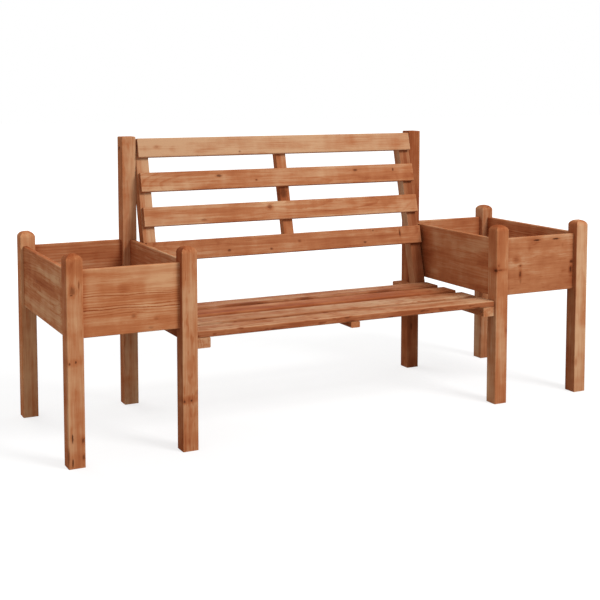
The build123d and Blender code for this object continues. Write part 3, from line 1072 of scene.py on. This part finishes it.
def floor_screw_lines():
    """Lines from above onto the floor boards, two wherever a board lies on a cleat."""
    for side in SIDES:
        for place in CLEAT_PLACES:
            x = middle_of(f"{side}_{place}_cleat").x
            for number in range(1, FLOOR_BOARD_COUNT + 1):
                board = f"{side}_floor_board_{number}"
                y = middle_of(board).y
                for step in FLOOR_SCREW_STEPS:
                    yield board, Vector((x, y + step, ABOVE_PLANTERS)), -UPRIGHT


class BENCH_OT_posts(bpy.types.Operator):
    """Stain the posts of both planters"""

    bl_idname = "bench.posts"
    bl_label = "Stain Posts"

    def execute(self, context):
        for side in SIDES:
            for place in POST_PLACES:
                stain_board(context, f"{side}_{place}", POST_AXES)
        return {"FINISHED"}


class BENCH_OT_panels(bpy.types.Operator):
    """Stain the panels of both planters"""

    bl_idname = "bench.panels"
    bl_label = "Stain Panels"

    def execute(self, context):
        for side in SIDES:
            for place in CROSS_PANEL_PLACES:
                stain_board(context, f"{side}_{place}", CROSS_PANEL_AXES)
            for place in SIDE_PANEL_PLACES:
                stain_board(context, f"{side}_{place}", SIDE_PANEL_AXES)
        return {"FINISHED"}


class BENCH_OT_planter_floors(bpy.types.Operator):
    """Stain the floor boards and cleats of both planters"""

    bl_idname = "bench.planter_floors"
    bl_label = "Stain Planter Floors"

    def execute(self, context):
        for side in SIDES:
            for number in range(1, FLOOR_BOARD_COUNT + 1):
                stain_board(context, f"{side}_floor_board_{number}", SEAT_AXES)
            for place in CLEAT_PLACES:
                stain_board(context, f"{side}_{place}_cleat", SIDE_PANEL_AXES)
        return {"FINISHED"}


class BENCH_OT_seat(bpy.types.Operator):
    """Stain the seat slats and the rails under them"""

    bl_idname = "bench.seat"
    bl_label = "Stain Seat"

    def execute(self, context):
        for number in range(1, SLAT_COUNT + 1):
            stain_board(context, f"seat_slat_{number}", SEAT_AXES)
        for place in SUPPORT_PLACES:
            stain_board(context, f"seat_rail_{place}", SIDE_PANEL_AXES)
        return {"FINISHED"}


class BENCH_OT_centre_batten(bpy.types.Operator):
    """Make the centre batten of the backrest, on the backs of the slats"""

    bl_idname = "bench.centre_batten"
    bl_label = "Make Centre Batten"

    def execute(self, context):
        sizes = context.scene.bench_batten
        middle, half = board_frame(frame["nodes"]["back_batten_centre"], BATTEN_AXES)
        middle += BATTEN_AXES.col[2] * (sizes.depth / 2 - half.z)
        bm = bmesh.new()
        bmesh.ops.create_cube(bm, size=1, matrix=Matrix.Diagonal((2 * half.x, sizes.width, sizes.depth, 1)))
        long_edges = [edge for edge in bm.edges if edge.calc_length() > half.x]
        bmesh.ops.bevel(
            bm, geom=long_edges, offset=sizes.edge_radius,
            affect="EDGES", segments=4, profile=0.5, material=-1,
        )
        stand = Matrix.Translation(middle) @ BATTEN_AXES.to_4x4()
        bmesh.ops.transform(bm, matrix=stand, verts=bm.verts)
        piece = add_piece(context, STAND_INS["back_batten_centre"], bm)
        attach(piece, "root")
        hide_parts("back_batten_centre")
        return {"FINISHED"}


class BENCH_OT_backrest(bpy.types.Operator):
    """Stain the back slats and the battens behind them"""

    bl_idname = "bench.backrest"
    bl_label = "Stain Backrest"

    def execute(self, context):
        for number in range(1, SLAT_COUNT + 1):
            stain_board(context, f"back_slat_{number}", BACK_SLAT_AXES)
        for place in SUPPORT_PLACES:
            stain_board(context, f"back_batten_{place}", BATTEN_AXES)
        return {"FINISHED"}


class BENCH_OT_bolts(bpy.types.Operator):
    """Finish the bolts and the long screws of the battens"""

    bl_idname = "bench.bolts"
    bl_label = "Finish Bolts"

    def execute(self, context):
        dress(frame["nodes"]["batten_head_bolts"], black_zinc(context))
        for node in FLUSH_FASTENERS:
            dress(frame["nodes"][node], brown_coat(context))
        return {"FINISHED"}


class BENCH_OT_wood_screws(bpy.types.Operator):
    """Add the small screws that hold slats, cleats and floor boards"""

    bl_idname = "bench.wood_screws"
    bl_label = "Add Wood Screws"

    def execute(self, context):
        drive_screws(context, "batten_screws", batten_screw_lines())
        drive_screws(context, "rail_screws", rail_screw_lines())
        drive_screws(context, "cleat_screws", cleat_screw_lines())
        drive_screws(context, "floor_screws", floor_screw_lines())
        return {"FINISHED"}


def show_white(n, output, lit, seen):
    """Show one shader to the viewer, straight or by way of glossy things, and light with the other."""
    path = n.add("LightPath").outputs
    viewer = n.math("MAXIMUM", path["Is Camera Ray"], path["Is Glossy Ray"])
    viewer = n.math("MAXIMUM", viewer, path["Is Transmission Ray"])
    picked = n.run(n.add("MixShader"), viewer, lit.outputs[0], seen.outputs[0])
    n.feed(n.add(output).inputs["Surface"], picked)


def floor_material(stage):
    """A pale floor that looks white, yet keeps the shadow of the bench."""
    material = bpy.data.materials.new("studio_floor")
    material.use_nodes = True
    tree = material.node_tree
    tree.nodes.clear()
    n = Nodes(tree)
    plain = n.add("BsdfDiffuse")
    plain.inputs["Color"].default_value = stage.floor_tint
    shadow_layer = n.add("BsdfDiffuse")
    shadow_layer.inputs["Color"].default_value = SHADOW_GREY
    far = n.vector("LENGTH", n.add("TexCoord").outputs["Object"])
    glow = n.add("Emission")
    n.feed(glow.inputs["Strength"], n.ease(far, GLOW_NEAR, GLOW_FAR, NEAR_GLOW, FAR_GLOW))
    seen = n.add("AddShader")
    n.run(seen, shadow_layer.outputs[0], glow.outputs[0])
    show_white(n, "OutputMaterial", plain, seen)
    return material


def set_sky(stage):
    """Even light from all around, in front of a white background."""
    world = bpy.data.worlds.new("studio_sky")
    world.use_nodes = True
    world.node_tree.nodes.clear()
    n = Nodes(world.node_tree)
    sky, backdrop = n.add("Background"), n.add("Background")
    sky.inputs["Strength"].default_value = stage.sky_strength
    backdrop.inputs["Strength"].default_value = 1
    for background in (sky, backdrop):
        background.inputs["Color"].default_value = (1, 1, 1, 1)
    show_white(n, "OutputWorld", sky, backdrop)
    return world


def add_lamp(context, name, power, size, place):
    """A square soft lamp that looks at the bench."""
    lamp = bpy.data.lights.new(name, "AREA")
    lamp.energy = power
    lamp.size = size
    holder = bpy.data.objects.new(name, lamp)
    holder.location = place
    holder.rotation_euler = (Vector(LAMP_TARGET) - Vector(place)).to_track_quat("-Z", "Y").to_euler()
    context.scene.collection.objects.link(holder)


def add_camera(context, stage):
    """The camera, at the place and angle from which the bench is shown."""
    lens = bpy.data.cameras.new("bench_camera")
    lens.sensor_fit = "HORIZONTAL"
    lens.sensor_width = SENSOR_WIDTH
    lens.lens = stage.lens
    lens.shift_y = stage.lens_shift
    holder = bpy.data.objects.new("bench_camera", lens)
    holder.location = stage.camera_place
    holder.rotation_euler = (math.pi / 2 - stage.camera_pitch, 0, -stage.camera_yaw)
    context.scene.collection.objects.link(holder)
    context.scene.camera = holder


class BENCH_OT_stage(bpy.types.Operator):
    """Set the floor, the lights and the camera"""

    bl_idname = "bench.stage"
    bl_label = "Set Stage"

    def execute(self, context):
        stage = context.scene.bench_stage
        bm = bmesh.new()
        bmesh.ops.create_grid(bm, x_segments=1, y_segments=1, size=stage.floor_size / 2)
        floor = add_piece(context, "studio_floor", bm)
        dress(floor, floor_material(stage))
        context.scene.world = set_sky(stage)
        context.scene.view_settings.view_transform = "Standard"
        add_lamp(context, "key_lamp", stage.key_power, KEY_LAMP_SIZE, KEY_LAMP_PLACE)
        add_lamp(context, "rim_lamp", stage.rim_power, RIM_LAMP_SIZE, RIM_LAMP_PLACE)
        add_camera(context, stage)
        return {"FINISHED"}


class BENCH_PT_finish(bpy.types.Panel):
    """Steps and settings of the bench"""

    bl_idname = "BENCH_PT_finish"
    bl_label = "Planter Bench"
    bl_space_type = "VIEW_3D"
    bl_region_type = "UI"
    bl_category = "Bench"

    def draw(self, context):
        for step in STEPS:
            self.layout.operator(step.bl_idname)
        for group in SETTINGS:
            settings = getattr(context.scene, group)
            box = self.layout.box()
            for name in settings.__annotations__:
                box.prop(settings, name)


STEPS = (
    BENCH_OT_posts,
    BENCH_OT_panels,
    BENCH_OT_planter_floors,
    BENCH_OT_seat,
    BENCH_OT_centre_batten,
    BENCH_OT_backrest,
    BENCH_OT_bolts,
    BENCH_OT_wood_screws,
    BENCH_OT_stage,
)
SETTINGS = {
    "bench_stain": BenchStain,
    "bench_batten": BenchBatten,
    "bench_screws": BenchScrews,
    "bench_stage": BenchStage,
}


def register():
    """Make the settings, the steps and the panel known to Blender."""
    for kind in (*SETTINGS.values(), *STEPS, BENCH_PT_finish):
        bpy.utils.register_class(kind)
    for name, kind in SETTINGS.items():
        setattr(bpy.types.Scene, name, PointerProperty(type=kind))


def unregister():
    """Take everything back out of Blender."""
    for name in SETTINGS:
        delattr(bpy.types.Scene, name)
    for kind in reversed((*SETTINGS.values(), *STEPS, BENCH_PT_finish)):
        bpy.utils.unregister_class(kind)


def main():
    """Run every step in order."""
    register()
    bpy.ops.bench.posts()
    bpy.ops.bench.panels()
    bpy.ops.bench.planter_floors()
    bpy.ops.bench.seat()
    bpy.ops.bench.centre_batten()
    bpy.ops.bench.backrest()
    bpy.ops.bench.bolts()
    bpy.ops.bench.wood_screws()
    bpy.ops.bench.stage()


if __name__ == "__main__":
    main()
